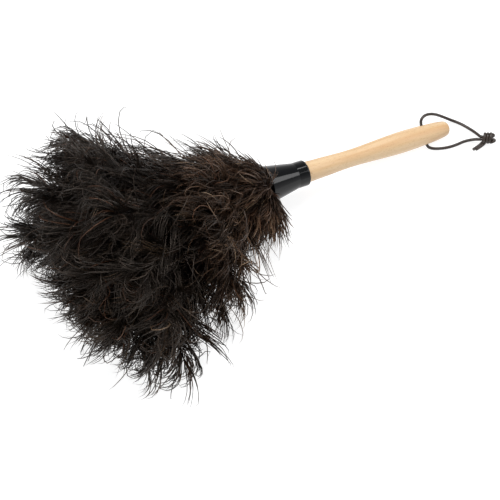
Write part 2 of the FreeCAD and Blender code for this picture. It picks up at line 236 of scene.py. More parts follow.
@dataclass(frozen=True)
class LacqueredBeech(Finish):
    """Steamed beech, turned, sanded and lacquered.

    It is pale and creamy, with soft growth bands along the grain, the short dark flecks of its
    rays, and a thin satin lacquer over fine pores.
    """

    name: str = "lacquered_beech"
    tilt: float = 0.0
    pale: str = "#d3b68f"
    band: str = "#c49d70"
    fleck: str = "#a3764c"
    band_size: tuple[float, float, float] = (120.0, 5.0, 14.0)
    fleck_size: tuple[float, float, float] = (3.2, 0.42, 0.42)
    pore_size: tuple[float, float, float] = (1.6, 0.16, 0.16)

    def dress(self, tree: bpy.types.NodeTree, shader: bpy.types.Node) -> None:
        """Bands, ray flecks and pores, all run along the handle's axis.

        Args:
            tree: the material's node tree.
            shader: its surface shader.
        """
        place = add(tree, "TexCoord").outputs["Object"]
        grain = add(tree, "Mapping", {"Vector": place, "Rotation": (0, -self.tilt, 0)}).outputs[0]
        fields = []
        for size, detail in ((self.band_size, 3.0), (self.fleck_size, 0.5), (self.pore_size, 1.0)):
            scaled = add(tree, "Mapping", {"Vector": grain, "Scale": per_mm(*size)}).outputs[0]
            noise = add(tree, "TexNoise", {"Vector": scaled, "Scale": 1.0, "Detail": detail})
            fields.append(noise.outputs[0])
        bands = add(tree, "ValToRGB", {"Fac": fields[0]}, [(0.36, self.pale), (0.66, self.band)])
        flecks = add(tree, "MapRange", {"Value": fields[1], "From Min": 0.66, "From Max": 0.74,
                                        "To Max": 0.6})
        # A Mix node's colours are its inputs 6 and 7, and its output 2.
        flecked = add(tree, "Mix", {0: flecks.outputs[0], 6: bands.outputs[0],
                                    7: colour(self.fleck)}, data_type="RGBA")
        pores = add(tree, "Bump", {"Height": fields[2], "Strength": 0.12, "Distance": 0.05 * MM})
        fill(tree, shader, {"Base Color": flecked.outputs[2], "Normal": pores.outputs[0],
                            "Roughness": 0.42, "Coat Weight": 0.25, "Coat Roughness": 0.22})


@dataclass(frozen=True)
class MouldedAbs(Finish):
    """Black ABS out of a polished mould.

    It mirrors the lights softly, with the slight ripple of a moulded wall and fine handling wear
    that dulls it in patches.
    """

    name: str = "moulded_abs"
    shade: str = "#08090a"
    ripple: float = 7.0
    wear: float = 3.0

    def dress(self, tree: bpy.types.NodeTree, shader: bpy.types.Node) -> None:
        """A deep black with a rippled gloss.

        Args:
            tree: the material's node tree.
            shader: its surface shader.
        """
        place = add(tree, "TexCoord").outputs["Object"]
        ripple = add(tree, "TexNoise", {"Vector": place, "Scale": per_mm(self.ripple)[0], "Detail": 1.0})
        wear = add(tree, "TexNoise", {"Vector": place, "Scale": per_mm(self.wear)[0], "Detail": 5.0})
        gloss = add(tree, "MapRange", {"Value": wear.outputs[0], "From Min": 0.3, "From Max": 0.75,
                                       "To Min": 0.06, "To Max": 0.12})
        bump = add(tree, "Bump", {"Height": ripple.outputs[0], "Strength": 0.06, "Distance": 0.05 * MM})
        fill(tree, shader, {"Base Color": colour(self.shade), "Roughness": gloss.outputs[0],
                            "Normal": bump.outputs[0], "IOR": 1.53, "Specular IOR Level": 0.3})


@dataclass(frozen=True)
class OstrichPlume(Finish):
    """Black-brown ostrich plume: barbs with a soft keratin shine.

    Shade runs at random from one barb to another, from near black to a grey that is partly painted highlight, the
    look of a lit barb. Each barb is also lightened towards its tip by a painted glint. Barbs near the bound end
    are browner, and a few are russet. Fine barbules cross each barb, and they are drawn about half a millimetre
    apart, because the real ones are too fine to show.
    """

    name: str = "ostrich_plume"
    # The last stop of each ramp is partly painted highlight: the grey or pale brown of a lit barb, shown on barbs
    # whose random shade is high.
    dark: tuple[str, str, str, str] = ("#070402", "#130d08", "#2a1f16", "#554433")
    brown: tuple[str, str, str, str] = ("#1b130c", "#3d2b20", "#6a513e", "#9a8168")
    russet: str = "#5a3620"
    shine: str = "#ffeada"
    barbules: float = 160.0

    def dress(self, tree: bpy.types.NodeTree, shader: bpy.types.Node) -> None:
        """Colours from each barb's own attributes, and barbules across it.

        Args:
            tree: the material's node tree.
            shader: its surface shader.
        """
        facts = {name: add(tree, "Attribute", attribute_name=name).outputs["Fac"]
                 for name in ("shade", "warmth", "russet", "along")}
        places = (0.0, 0.45, 0.8, 1.0)
        ramps = [add(tree, "ValToRGB", {"Fac": facts["shade"]}, list(zip(places, shades))).outputs[0]
                 for shades in (self.dark, self.brown)]
        warmed = add(tree, "Mix", {0: facts["warmth"], 6: ramps[0], 7: ramps[1]}, data_type="RGBA")
        rusted = add(tree, "Mix", {0: facts["russet"], 6: warmed.outputs[2],
                                   7: colour(self.russet)}, data_type="RGBA")
        waves = add(tree, "Math", {0: facts["along"], 1: self.barbules * 2 * math.pi},
                    operation="MULTIPLY")
        sine = add(tree, "Math", {0: waves.outputs[0]}, operation="SINE")
        bump = add(tree, "Bump", {"Height": sine.outputs[0], "Strength": 0.3, "Distance": 0.04 * MM})
        fill(tree, shader, {"Base Color": rusted.outputs[2], "Normal": bump.outputs[0],
                            "Roughness": 0.34, "Specular IOR Level": 0.48,
                            "Specular Tint": colour(self.shine)})


@dataclass(frozen=True)
class WaxedLeather(Finish):
    """Round calf-leather cord, dyed dark brown and waxed.

    It has a soft shine with fine lengthwise fibres, small cross creases, and a lighter brown where
    the wax has rubbed off. The length and girth, in millimetres, are what its UV map spans.
    """

    name: str = "waxed_leather"
    dye: str = "#1b130e"
    rubbed: str = "#3c2c21"
    length: float = 190.0
    girth: float = 10.4
    fibre: tuple[float, float] = (7.0, 0.5)
    crease: tuple[float, float] = (0.8, 2.6)

    def dress(self, tree: bpy.types.NodeTree, shader: bpy.types.Node) -> None:
        """Fibres and creases along the cord's own length, from its UV map.

        Args:
            tree: the material's node tree.
            shader: its surface shader.
        """
        place = add(tree, "TexCoord").outputs["UV"]
        fields = []
        for along, around in (self.fibre, self.crease):
            scale = (self.length / along, self.girth / around, 1.0)
            mapped = add(tree, "Mapping", {"Vector": place, "Scale": scale}).outputs[0]
            noise = add(tree, "TexNoise", {"Vector": mapped, "Scale": 1.0, "Detail": 2.0})
            fields.append(noise.outputs[0])
        dyed = add(tree, "ValToRGB", {"Fac": fields[0]}, [(0.35, self.dye), (0.8, self.rubbed)])
        grain = add(tree, "Math", {0: fields[0], 1: fields[1]}, operation="ADD")
        bump = add(tree, "Bump", {"Height": grain.outputs[0], "Strength": 0.35, "Distance": 0.12 * MM})
        fill(tree, shader, {"Base Color": dyed.outputs[0], "Normal": bump.outputs[0],
                            "Roughness": 0.38})


@dataclass(frozen=True)
class WaxedTwine(Finish):
    """Waxed linen twine: pale and dull, with darker gaps between its strands.

    The gaps are painted shade, darkest where the strands' bump is lowest, and they are drawn every few
    millimetres, because real strands are too fine to show.
    """

    name: str = "waxed_twine"
    pale: str = "#b9a583"
    dark: str = "#7d6b4f"
    gap: float = 3.63

    def dress(self, tree: bpy.types.NodeTree, shader: bpy.types.Node) -> None:
        """Strands crossing the twine at a slant.

        Args:
            tree: the material's node tree.
            shader: its surface shader.
        """
        place = add(tree, "TexCoord").outputs["Object"]
        # A slanting wave turns 10 radians for each unit of x + y + z, and 3**0.5 times that along
        # its own direction.
        scale = 2 * math.pi / (10 * math.sqrt(3)) * per_mm(self.gap)[0]
        strands = add(tree, "TexWave", {"Vector": place, "Scale": scale, "Distortion": 2.0},
                      bands_direction="DIAGONAL")
        # The ramp's dark end is painted shade in the grooves between strands, where the bump is lowest.
        strands_and_gap_shade = add(tree, "ValToRGB", {"Fac": strands.outputs[1]}, [(0.2, self.dark), (0.7, self.pale)])
        bump = add(tree, "Bump", {"Height": strands.outputs[1], "Strength": 0.5, "Distance": 0.1 * MM})
        fill(tree, shader, {"Base Color": strands_and_gap_shade.outputs[0], "Normal": bump.outputs[0],
                            "Roughness": 0.75})


@dataclass(frozen=True)
class LightTable(Finish):
    """A matt studio surface, lit from within until it is white, so that shadows on it stay pale."""

    name: str = "light_table"
    base: str = "#989898"
    glow: float = 0.84

    def dress(self, tree: bpy.types.NodeTree, shader: bpy.types.Node) -> None:
        """White, matt and softly glowing.

        Args:
            tree: the material's node tree.
            shader: its surface shader.
        """
        fill(tree, shader, {"Base Color": colour(self.base), "Roughness": 0.9,
                            "Specular IOR Level": 0.0, "Emission Color": colour("#ffffff"),
                            "Emission Strength": self.glow})


# ---------------------------------------------------------------- where things are


@dataclass
class Lie:
    """Where the duster's axis is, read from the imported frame, in metres."""

    mouth: np.ndarray = field(init=False)
    out: np.ndarray = field(init=False)
    up: np.ndarray = field(init=False)
    side: np.ndarray = field(init=False)
    hole: np.ndarray = field(init=False)
    hole_way: np.ndarray = field(init=False)

    def __post_init__(self) -> None:
        """Reads the ferrule's mouth and the cross hole."""
        seat = next(m for m in frame["record"]["mounts"] if m["name"] == "clip_seat")
        axis = unit(np.array(seat["axis"], float))
        middle = np.array(seat["pos_m"], float)
        shell = np.array([v.co[:] for v in frame["nodes"]["ferrule"].data.vertices])
        self.mouth = middle + axis * float(((shell - middle) @ axis).min())
        self.out = -axis
        self.side = np.array([0.0, -1.0, 0.0])
        self.up = unit(np.cross(self.out, self.side))
        swing = next(j for j in frame["joints"] if j["name"] == "loop_swing")
        self.hole = np.array(swing["pos_m"], float)
        self.hole_way = unit(np.array(swing["axis"], float))

    @property
    def tilt(self) -> float:
        """How far the axis falls towards the handle's end, in radians."""
        return math.asin(self.out[2])


# ---------------------------------------------------------------- plumes

# Places round the axis, in degrees from the top towards the side.
FULLER_SIDE = 95.0
UNDERSIDE = 190.0
FAR_SIDE = 300.0
BACK_CURL = 312.0
DARK_TOP = 330.0

BARB_SIDES = 3
QUILL_SIDES = 8


def nearness(turn: float, place: float) -> float:
    """How near a plume is to a place round the axis: 1 at it, and 0 from a quarter turn away."""
    return max(0.0, math.cos(math.radians(turn - place)))


@dataclass(frozen=True)
class Shaft:
    """A plume's shaft: one arc out of the ferrule's mouth, in metres."""

    root: np.ndarray
    out: np.ndarray
    way: np.ndarray
    radius: float

    def points(self, along: np.ndarray) -> np.ndarray:
        """Points at these distances from the mouth."""
        swing = (along / self.radius)[..., None]
        return self.root + self.radius * (self.out * np.sin(swing) + self.way * (1 - np.cos(swing)))

    def headings(self, along: np.ndarray) -> np.ndarray:
        """The shaft's direction at these distances from the mouth."""
        swing = (along / self.radius)[..., None]
        return self.out * np.cos(swing) + self.way * np.sin(swing)

    @property
    def flat(self) -> np.ndarray:
        """The direction across the vane, square to the plane that the shaft bends in."""
        return np.cross(self.out, self.way)


@dataclass(frozen=True)
class Row:
    """One row of plumes round the axis. Lengths are in millimetres and angles in degrees.

    Attributes:
        name: the row's name, as its CAD nodes have it.
        place: its number from the axis, 0 for the innermost.
        first: where its first plume stands round the axis.
        depth: how deep its quills sit in the ferrule.
        length: a plume's length from the mouth.
        spread: how far a shaft turns away from the axis along its length.
        rest: how high the tip of a lying plume's shaft stays.
        barb: a barb's length.
        curl: how much its barbs curl, 1 as usual.
        fuller: the share by which plumes at the side are longer.
        locks: how many locks a plume's barbs hang in.
        warmth: how brown all its barbs are, from 0 to 1.
        warm_reach: how far from the mouth the brown fades out.
        ruff: how much wider barbs stand open at the mouth.
        crowded: how much locks crowd towards the mouth, 1 for even.
        lift: how far barbs stray out of the vane's plane.
        closing: how much barbs close up at the shaft's tip.
        back_curl: the share of its length that a plume loses where it curls right back.
    """

    name: str
    place: int
    first: float
    depth: float
    length: float
    spread: float
    rest: float
    barb: float
    curl: float
    fuller: float = 0.0
    locks: int = 60
    warmth: float = 0.0
    warm_reach: float = 95.0
    ruff: float = 10.0
    crowded: float = 1.0
    lift: float = 58.0
    closing: float = 0.0
    back_curl: float = 0.0

    @property
    def nodes(self) -> list[str]:
        """The CAD nodes of this row, in order."""
        return sorted(n for n in frame["nodes"] if n.startswith(f"{self.name}_plume_"))


@dataclass(frozen=True)
class Habit:
    """How barbs leave a shaft, curl and hang. Lengths are in millimetres and angles in degrees."""

    # How far a barb opens away from the shaft, how that changes, and how much it strays.
    opening: float = 34.0
    wider_by_tip: float = 16.0
    wider_at_fuller_side: float = 24.0
    closed_at_far_tips: float = 30.0
    closed_at_fuller_tips: float = 36.0
    opening_stray: float = 9.0

    # The shares of the shaft that are its root and its tip.
    root_share: float = 0.26
    tip_share: float = 0.18

    # The share of the ruff that goes all round, and how its barbs lean out with the shaft.
    ruff_all_round: float = 0.3
    ruff_lean: float = 1 / 40

    # A barb's length along the shaft, as shares of the row's.
    end_length: float = 0.64
    fullness: float = 0.8
    back_curl_loss: float = 0.8
    length_range: tuple[float, float] = (0.75, 1.12)

    # How far barbs curl, and the share of them that curl right round.
    curl: float = 18.0
    curl_by_tip: float = 150.0
    curl_range: tuple[float, float] = (0.2, 1.3)
    curl_stray: float = 0.6
    hooked: float = 0.12
    hooked_at_fuller_side: float = 0.14
    hook: float = 2.5

    # What bends a barb at each step, and how late along it the curl comes.
    sweep: float = 0.072
    weight: float = 0.045
    lateness: float = 3.0

    # How the barbs of a lock part, draw together and wave.
    root_nearest: float = 4.0
    root_spread: float = 3.8
    own_spread: float = 4.2
    spread_lateness: float = 1.2
    pinch: float = 0.5
    reach_range: tuple[float, float] = (0.55, 1.05)
    frizz: float = 1.0
    waves: tuple[float, float] = (0.5, 1.4)

    # Where locks and loose barbs start on the shaft, and how unruly loose ones are.
    lock_start: float = 0.01
    loose_start: float = 0.04
    loose_wildness: float = 1.6

    # How high a barb that lies on the surface is, and the room past the CAD box.
    lying: tuple[float, float] = (0.6, 2.4)
    proud_share: float = 0.03
    proud: float = 8.0

    # A barb is fine at its root, widest past the middle and ends in a point.
    root_width: float = 0.5
    widest_from: float = 0.4
    point: tuple[float, float] = (5, 0.9)
    width_range: tuple[float, float] = (0.7, 1.15)


@dataclass(frozen=True)
class Tones:
    """How colour varies from barb to barb, as amounts from 0 to 1.

    The first two are the shapes of beta distributions: a lock's barbs are close in shade, and many
    locks are dark.
    """

    locks: tuple[float, float] = (0.9, 2.2)
    loose: tuple[float, float] = (1.6, 2.4)
    lighter: float = 0.06
    darker_on_top: float = 0.24
    stray: float = 0.13
    # A painted glint that lightens each barb's shade towards its tip, and how late along the barb it comes.
    painted_tip_glint: float = 0.24
    tip_glint_lateness: int = 4
    warm_at_mouth: float = 0.75
    warmth_stray: float = 0.15
    russet_share: float = 0.04
    russet: tuple[float, float] = (0.2, 0.7)


@dataclass
class Plume:
    """One ostrich plume: its quill and shaft, and barbs that hang together in locks.

    Its sizes are in millimetres and degrees. Its shaft, the length of it that barbs grow on, and
    how close two points count as one, are in metres.
    """

    row: Row
    number: int
    lie: Lie
    habit: Habit = Habit()
    tones: Tones = Tones()
    quill_radius: float = 1.1
    quill_points: int = 26
    quill_taper: float = 0.72
    first_ring: float = 7.25
    ring_step: float = 3.1
    droop: float = 34.0
    droop_length: float = 255.0
    lean: float = 8.0
    shaft_share: float = 0.85
    far_growth: float = 0.04
    even_row: float = 1.5
    underside_loss: float = 0.05
    barb_points: int = 9
    barbs_in_lock: int = 11
    loose_barbs: int = 100
    barb_radius: float = 0.56
    same_place: float = 1e-7
    row_seed: int = 1009
    plume_seed: int = 31
    rng: np.random.Generator = field(init=False)
    shaft: Shaft = field(init=False)
    length: float = field(init=False)

    def __post_init__(self) -> None:
        """Sets its own random numbers, its shaft and the length that barbs grow on."""
        seed = self.row_seed * (self.row.place + 1) + self.plume_seed * self.number
        self.rng = np.random.default_rng(seed)
        self.shaft, whole = self.reach()
        share = self.shaft_share + self.far_growth * self.far_side * (self.even_row - self.row.place)
        share -= self.underside_loss * nearness(self.turn, UNDERSIDE)
        self.length = whole * (share - self.curled_back)

    @property
    def turn(self) -> float:
        """Where it stands round the axis, in degrees from the top towards the side."""
        return self.row.first + 360 * self.number / len(self.row.nodes)

    @property
    def far_side(self) -> float:
        """How much it is one of the plumes that reach furthest, from 0 to 1."""
        return max(0.0, 2 * nearness(self.turn, FAR_SIDE) - 1)

    @property
    def curled_back(self) -> float:
        """The share of its length that it loses as it curls back over the top."""
        return self.row.back_curl * nearness(self.turn, BACK_CURL)

    @property
    def along_barb(self) -> np.ndarray:
        """The share of a barb's length at each of its points."""
        return np.linspace(0, 1, self.barb_points)

    def bent(self, root: np.ndarray, length: float, across: float, rise: float) -> Shaft:
        """A shaft that turns by across and rise degrees in its length."""
        way = unit(self.lie.side * across + self.lie.up * rise)
        return Shaft(root, self.lie.out, way, length / math.radians(math.hypot(across, rise)))

    def sinks(self, shaft: Shaft, length: float) -> bool:
        """Whether a shaft's tip is lower than its row rests."""
        return shaft.points(np.array([length]))[0][2] < self.row.rest * MM

    def reach(self) -> tuple[Shaft, float]:
        """The shaft, bent up where it would sink, and its length.

        Returns:
            The shaft, and the plume's length in metres.
        """
        angle = math.radians(self.turn)
        ring_way = self.lie.up * math.cos(angle) + self.lie.side * math.sin(angle)
        ring = (self.first_ring + self.ring_step * self.row.place) * MM
        root = self.lie.mouth + ring_way * ring
        length = self.row.length * (1 + self.row.fuller * math.sin(angle))
        lower = 90 < self.turn % 360 < 270
        splay = (180 - self.turn % 360) / 90 if lower else math.sin(angle)
        across = self.row.spread * splay + self.lean
        rise = self.row.spread * math.cos(angle) - self.droop * length / self.droop_length
        length *= MM
        shaft = self.bent(root, length, across, rise)
        if self.sinks(shaft, length):
            lowest, highest, close_enough = rise, self.droop, 1e-4
            while highest - lowest > close_enough:
                rise = (lowest + highest) / 2
                shaft = self.bent(root, length, across, rise)
                if self.sinks(shaft, length):
                    lowest = rise
                else:
                    highest = rise
        return shaft, length

    def walked(
        self,
        starts: np.ndarray,
        headings: np.ndarray,
        directions: np.ndarray,
        lengths: np.ndarray,
        curls: np.ndarray,
        axes: np.ndarray,
    ) -> np.ndarray:
        """The lines of barbs that sweep towards the tip, droop and then curl.

        Args:
            starts: where each leaves the shaft.
            headings: the shaft's direction there.
            directions: the barb's first direction.
            lengths: metres.
            curls: each one's whole curl, in radians.
            axes: what each curls about.
        Returns:
            An array of barbs, points and coordinates.
        """
        habit = self.habit
        steps = self.barb_points - 1
        points = [starts]
        for step in range(1, steps + 1):
            directions = unit(directions + headings * habit.sweep + DOWN * habit.weight)
            share, before = step / steps, (step - 1) / steps
            turn = curls * (share**habit.lateness - before**habit.lateness)
            square = unit(axes - directions * np.sum(axes * directions, axis=1, keepdims=True))
            directions = turned(directions, square, turn)
            points.append(points[-1] + directions * (lengths / steps)[:, None])
        return np.stack(points, axis=1)

    def openings(self, shares: np.ndarray, at_root: np.ndarray) -> np.ndarray:
        """How far barbs open away from the shaft, before they stray.

        Args:
            shares: where they leave it, from 0 at the mouth to 1 at its tip.
            at_root: how much each belongs to the ruff, from 0 to 1.
        Returns:
            Degrees.
        """
        habit = self.habit
        fuller_side = nearness(self.turn, FULLER_SIDE)
        at_tip = np.clip((shares - (1 - habit.tip_share)) / habit.tip_share, 0, 1)
        sideways = float(self.shaft.way @ self.lie.side)
        all_round = habit.ruff_all_round
        ruff = self.row.ruff * min(1.0, max(0.0, all_round + (1 - all_round) * sideways))
        opening = habit.opening + habit.wider_by_tip * shares + ruff * at_root
        opening += habit.wider_at_fuller_side * fuller_side * np.sqrt(shares)
        closed = habit.closed_at_far_tips * self.far_side
        closed += habit.closed_at_fuller_tips * fuller_side + self.row.closing
        return opening - closed * at_tip

    def rooted(self, shares: np.ndarray, wild: float) -> np.ndarray:
        """Barbs that leave the shaft at shares of its length.

        Args:
            shares: from 0 at the mouth to 1 at the shaft's tip.
            wild: how unruly they are, 1 for a lock and more for a loose barb.
        Returns:
            The barbs' lines.
        """
        habit, rng, shaft, count = self.habit, self.rng, self.shaft, len(shares)
        along = shares * self.length
        headings = shaft.headings(along)
        normals = np.cross(np.broadcast_to(shaft.flat, headings.shape), headings)
        sides = rng.choice([-1.0, 1.0], count)[:, None]
        at_root = np.clip(1 - shares / habit.root_share, 0, 1)
        opening = self.openings(shares, at_root)
        leave = np.radians(opening + rng.normal(0, habit.opening_stray * wild, count))[:, None]
        lift = np.radians(rng.normal(0, self.row.lift * wild, count))[:, None]
        aside = shaft.flat * sides * np.cos(lift) + normals * np.sin(lift)
        aside = unit(aside + shaft.way * at_root[:, None] * self.row.ruff * habit.ruff_lean)
        directions = headings * np.cos(leave) + aside * np.sin(leave)
        swell = np.sin(math.pi * np.clip(shares, 0, 1) ** habit.fullness)
        envelope = habit.end_length + (1 - habit.end_length) * swell
        envelope *= 1 - habit.back_curl_loss * self.curled_back
        lengths = self.row.barb * MM * envelope * rng.uniform(*habit.length_range, count)
        by_tip = habit.curl_by_tip * shares**2 * rng.uniform(*habit.curl_range, count) * wild
        curls = np.radians(habit.curl + by_tip) * self.row.curl
        hooked = habit.hooked + habit.hooked_at_fuller_side * nearness(self.turn, FULLER_SIDE)
        curls *= np.where(rng.random(count) < hooked, habit.hook, 1.0)
        inward = np.cross(directions, -normals)
        axes = unit(inward + rng.normal(0, habit.curl_stray * wild, (count, 3)))
        return self.walked(shaft.points(along), headings, directions, lengths, curls, axes)

    def lock_barbs(self, shares: np.ndarray) -> np.ndarray:
        """Barbs in locks: each follows its lock's guide, and they draw together towards the tip.

        Args:
            shares: where each lock's middle leaves the shaft.
        Returns:
            The barbs' lines.
        """
        habit, rng, along = self.habit, self.rng, self.along_barb
        guides = self.rooted(shares, 1.0)
        locks, last = len(shares), self.barb_points - 1
        each = (locks, self.barbs_in_lock)

        # Each barb follows the guide for its own share of the guide's length.
        reach = rng.uniform(*habit.reach_range, (*each, 1)).clip(0, 1)
        place = along * reach * last
        before = np.minimum(place.astype(int), last - 1)
        part = (place - before)[..., None]
        chosen = np.arange(locks)[:, None, None]
        lines = guides[chosen, before] * (1 - part) + guides[chosen, before + 1] * part

        # Its root is beside the guide's, and it stays apart, wavers and frizzes towards its tip.
        roots = shares[:, None] * self.length + rng.normal(0, habit.root_spread * MM, each)
        offset = self.shaft.points(roots.clip(habit.root_nearest * MM, self.length)) - guides[:, None, 0]
        lines += offset[:, :, None] * (1 - habit.pinch * along)[:, None]
        aside = rng.normal(0, habit.own_spread * MM, (*each, 1, 3))
        lines += aside * (along**habit.spread_lateness)[:, None]
        waves = along * rng.uniform(*habit.waves, (*each, 1)) + rng.random((*each, 1))
        wave = np.sin(2 * math.pi * waves)
        lines += rng.normal(0, habit.frizz * MM, (*each, 1, 3)) * (wave * along)[..., None]
        return lines.reshape(-1, self.barb_points, 3)

    def settled(self, lines: np.ndarray) -> np.ndarray:
        """Keeps barbs off the surface below and inside the room that the duster has.

        Args:
            lines: the barbs' lines.
        Returns:
            The same lines, moved where they went too far.
        """
        floor = self.rng.uniform(*self.habit.lying, len(lines))[:, None] * MM
        lines[..., 2] = np.maximum(lines[..., 2], floor)
        low, high = (np.array(corner) for corner in cad_box)
        proud = self.habit.proud_share * (high - low) + self.habit.proud * MM
        lines[..., :2] = np.clip(lines[..., :2], (low - proud)[:2], (high + proud)[:2])
        lines[..., 2] = np.minimum(lines[..., 2], high[2] + proud[2])
        return lines

    def barb_lines(self) -> np.ndarray:
        """Grows every barb.

        Returns:
            The lines of the ones in locks, and then of the loose ones.
        """
        habit, locks = self.habit, self.row.locks
        shares = (np.arange(locks) + self.rng.uniform(0, 1, locks)) / locks
        shares = habit.lock_start + (1 - habit.lock_start) * shares**self.row.crowded
        locked = self.lock_barbs(shares)
        loose_shares = self.rng.uniform(habit.loose_start, 1.0, self.loose_barbs)
        loose = self.rooted(loose_shares, habit.loose_wildness)
        return self.settled(np.concatenate([locked, loose]))

    def barb_widths(self, count: int) -> np.ndarray:
        """How thick each barb is along its length.

        Args:
            count: the number of barbs.
        Returns:
            The radius of each barb at each of its points, in metres.
        """
        habit, along = self.habit, self.along_barb
        growing = habit.root_width + (1 - habit.root_width) * np.minimum(1, along / habit.widest_from)
        late, sharpness = habit.point
        shape = growing * (1 - along**late) ** sharpness
        own = self.rng.uniform(*habit.width_range, count)[:, None]
        return own * self.barb_radius * MM * shape

    def colour_barbs(self, mesh: bpy.types.Mesh, lines: np.ndarray) -> None:
        """Stores each barb's shade, warmth and russet, and the place along it, for the finish.

        Args:
            mesh: the barbs' tubes.
            lines: the lines that they follow.
        """
        rng, tones, count = self.rng, self.tones, len(lines)
        by_lock = np.repeat(rng.beta(*tones.locks, self.row.locks), self.barbs_in_lock)
        tone = np.concatenate([by_lock, rng.beta(*tones.loose, self.loose_barbs)])
        tone = tone + tones.lighter - tones.darker_on_top * nearness(self.turn, DARK_TOP)
        tone = (tone + rng.normal(0, tones.stray, count)).clip(0, 1)
        away = np.linalg.norm(lines[:, 0] - self.lie.mouth, axis=1)
        warmth = self.row.warmth + tones.warm_at_mouth * (1 - away / (self.row.warm_reach * MM))
        warmth = (warmth + rng.normal(0, tones.warmth_stray, count)).clip(0, 1)
        is_russet = rng.random(count) < tones.russet_share
        russet = np.where(is_russet, rng.uniform(*tones.russet, count), 0.0)
        along = self.along_barb
        # Each barb's shade is lightened towards its tip by a painted glint.
        shade_with_tip_glint = (tone[:, None] + tones.painted_tip_glint * along**tones.tip_glint_lateness).clip(0, 1)
        facts = {"shade": shade_with_tip_glint, "warmth": warmth[:, None], "russet": russet[:, None], "along": along}
        for name, amounts in facts.items():
            values = np.broadcast_to(amounts, (count, self.barb_points)).ravel()
            attribute = mesh.attributes.new(name, "FLOAT", "POINT")
            attribute.data.foreach_set("value", np.repeat(values, BARB_SIDES).astype(np.float32))

    def curve_mesh(
        self, name: str, lines: np.ndarray, radii: np.ndarray, profile: bpy.types.Object
    ) -> bpy.types.Mesh:
        """Tubes along lines, as one mesh.

        Args:
            name: the mesh's name.
            lines: an array of lines, points and coordinates.
            radii: the tube's radius at each point, in units of the profile's.
            profile: the tube's section.
        Returns:
            The mesh, whose vertices run line by line and ring by ring.
        """
        curve = bpy.data.curves.new(name, "CURVE")
        curve.dimensions = "3D"
        curve.bevel_mode = "OBJECT"
        curve.bevel_object = profile
        weighted = np.concatenate([lines, np.ones(lines.shape[:2] + (1,))], axis=2).astype(np.float32)
        for line, widths in zip(weighted, radii.astype(np.float32)):
            spline = curve.splines.new("POLY")
            spline.points.add(len(line) - 1)
            spline.points.foreach_set("co", line.ravel())
            spline.points.foreach_set("radius", widths)
        holder = placed(name, curve)
        graph = bpy.context.evaluated_depsgraph_get()
        mesh = bpy.data.meshes.new_from_object(holder.evaluated_get(graph))
        bpy.data.objects.remove(holder)
        bpy.data.curves.remove(curve)
        return mesh

    def quill_mesh(self, name: str, profile: bpy.types.Object) -> bpy.types.Mesh:
        """The quill and shaft as one tapered rod, closed at both ends.

        Args:
            name: the mesh's name.
            profile: its section.
        Returns:
            The mesh.
        """
        along = np.linspace(-self.row.depth * MM, self.length, self.quill_points)
        inside = self.lie.out * np.minimum(along, 0)[:, None]
        line = self.shaft.points(np.maximum(along, 0)) + inside
        widths = self.quill_radius * MM * (1 - self.quill_taper * np.clip(along / self.length, 0, 1))
        widths[[0, -1]] = 0.0
        return self.curve_mesh(name, line[None], widths[None], profile)

    def build(self, profiles: dict[str, bpy.types.Object], finish: bpy.types.Material) -> bpy.types.Object:
        """Makes the plume and puts it in the CAD plume's place.

        Args:
            profiles: the sections of a barb and of a quill.
            finish: the plume's material.
        Returns:
            The finished piece.
        """
        node = self.row.nodes[self.number]
        lines = self.barb_lines()
        mesh = self.curve_mesh(f"{node}_barbs", lines, self.barb_widths(len(lines)), profiles["barb"])
        self.colour_barbs(mesh, lines)
        quill = self.quill_mesh(f"{node}_quill", profiles["quill"])

        # The tubes' pointed ends are drawn together, and their open roots are closed.
        shape = bmesh.new()
        shape.from_mesh(mesh)
        shape.from_mesh(quill)
        bmesh.ops.remove_doubles(shape, verts=shape.verts, dist=self.same_place)
        open_edges = [edge for edge in shape.edges if edge.is_boundary]
        bmesh.ops.holes_fill(shape, edges=open_edges, sides=BARB_SIDES)
        shape.to_mesh(mesh)
        shape.free()
        bpy.data.meshes.remove(quill)
        mesh.shade_smooth()
        mesh.materials.clear()
        mesh.materials.append(finish)
        piece = placed(node.replace("_plume_", "_feather_"), mesh)
        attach(piece, Body.DUSTER.value)
        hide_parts(node)
        return piece


@dataclass
class Head:
    """All the duster's plumes, in four rows."""

    lie: Lie
    rows: tuple[Row, ...] = (
        Row("inner", place=0, first=0, depth=30, length=262, spread=32, rest=24, barb=98, curl=0.75),
        Row("middle", place=1, first=0, depth=22, length=264, spread=56, rest=13, barb=96, curl=0.8,
            fuller=0.02),
        Row("outer", place=2, first=12, depth=14, length=246, spread=82, rest=1.2, barb=96, curl=1.1,
            fuller=0.06, locks=70),
        Row("collar", place=3, first=15, depth=5, length=122, spread=98, rest=4, barb=84, curl=0.7,
            fuller=0.33, locks=56, warmth=0.5, warm_reach=150, ruff=62, crowded=1.7, lift=32,
            closing=24, back_curl=0.36),
    )

    def section(self, name: str, sides: int) -> bpy.types.Object:
        """A round section, for tubes along curves.

        Args:
            name: its name.
            sides: how many sides it has.
        Returns:
            The section's object.
        """
        curve = bpy.data.curves.new(name, "CURVE")
        curve.dimensions = "2D"
        spline = curve.splines.new("POLY")
        spline.points.add(sides - 1)
        for side, point in enumerate(spline.points):
            angle = -2 * math.pi * side / sides
            point.co = (math.cos(angle), math.sin(angle), 0, 1)
        spline.use_cyclic_u = True
        return placed(name, curve)

    def build(self) -> list[bpy.types.Object]:
        """Makes every plume.

        Returns:
            The finished pieces.
        """
        finish = OstrichPlume().material()
        profiles = {"barb": self.section("barb_section", BARB_SIDES),
                    "quill": self.section("quill_section", QUILL_SIDES)}
        pieces = []
        for row in self.rows:
            for number in range(len(row.nodes)):
                pieces.append(Plume(row, number, self.lie).build(profiles, finish))
        for profile in profiles.values():
            curve = profile.data
            bpy.data.objects.remove(profile)
            bpy.data.curves.remove(curve)
        return pieces


# ---------------------------------------------------------------- hanging loop


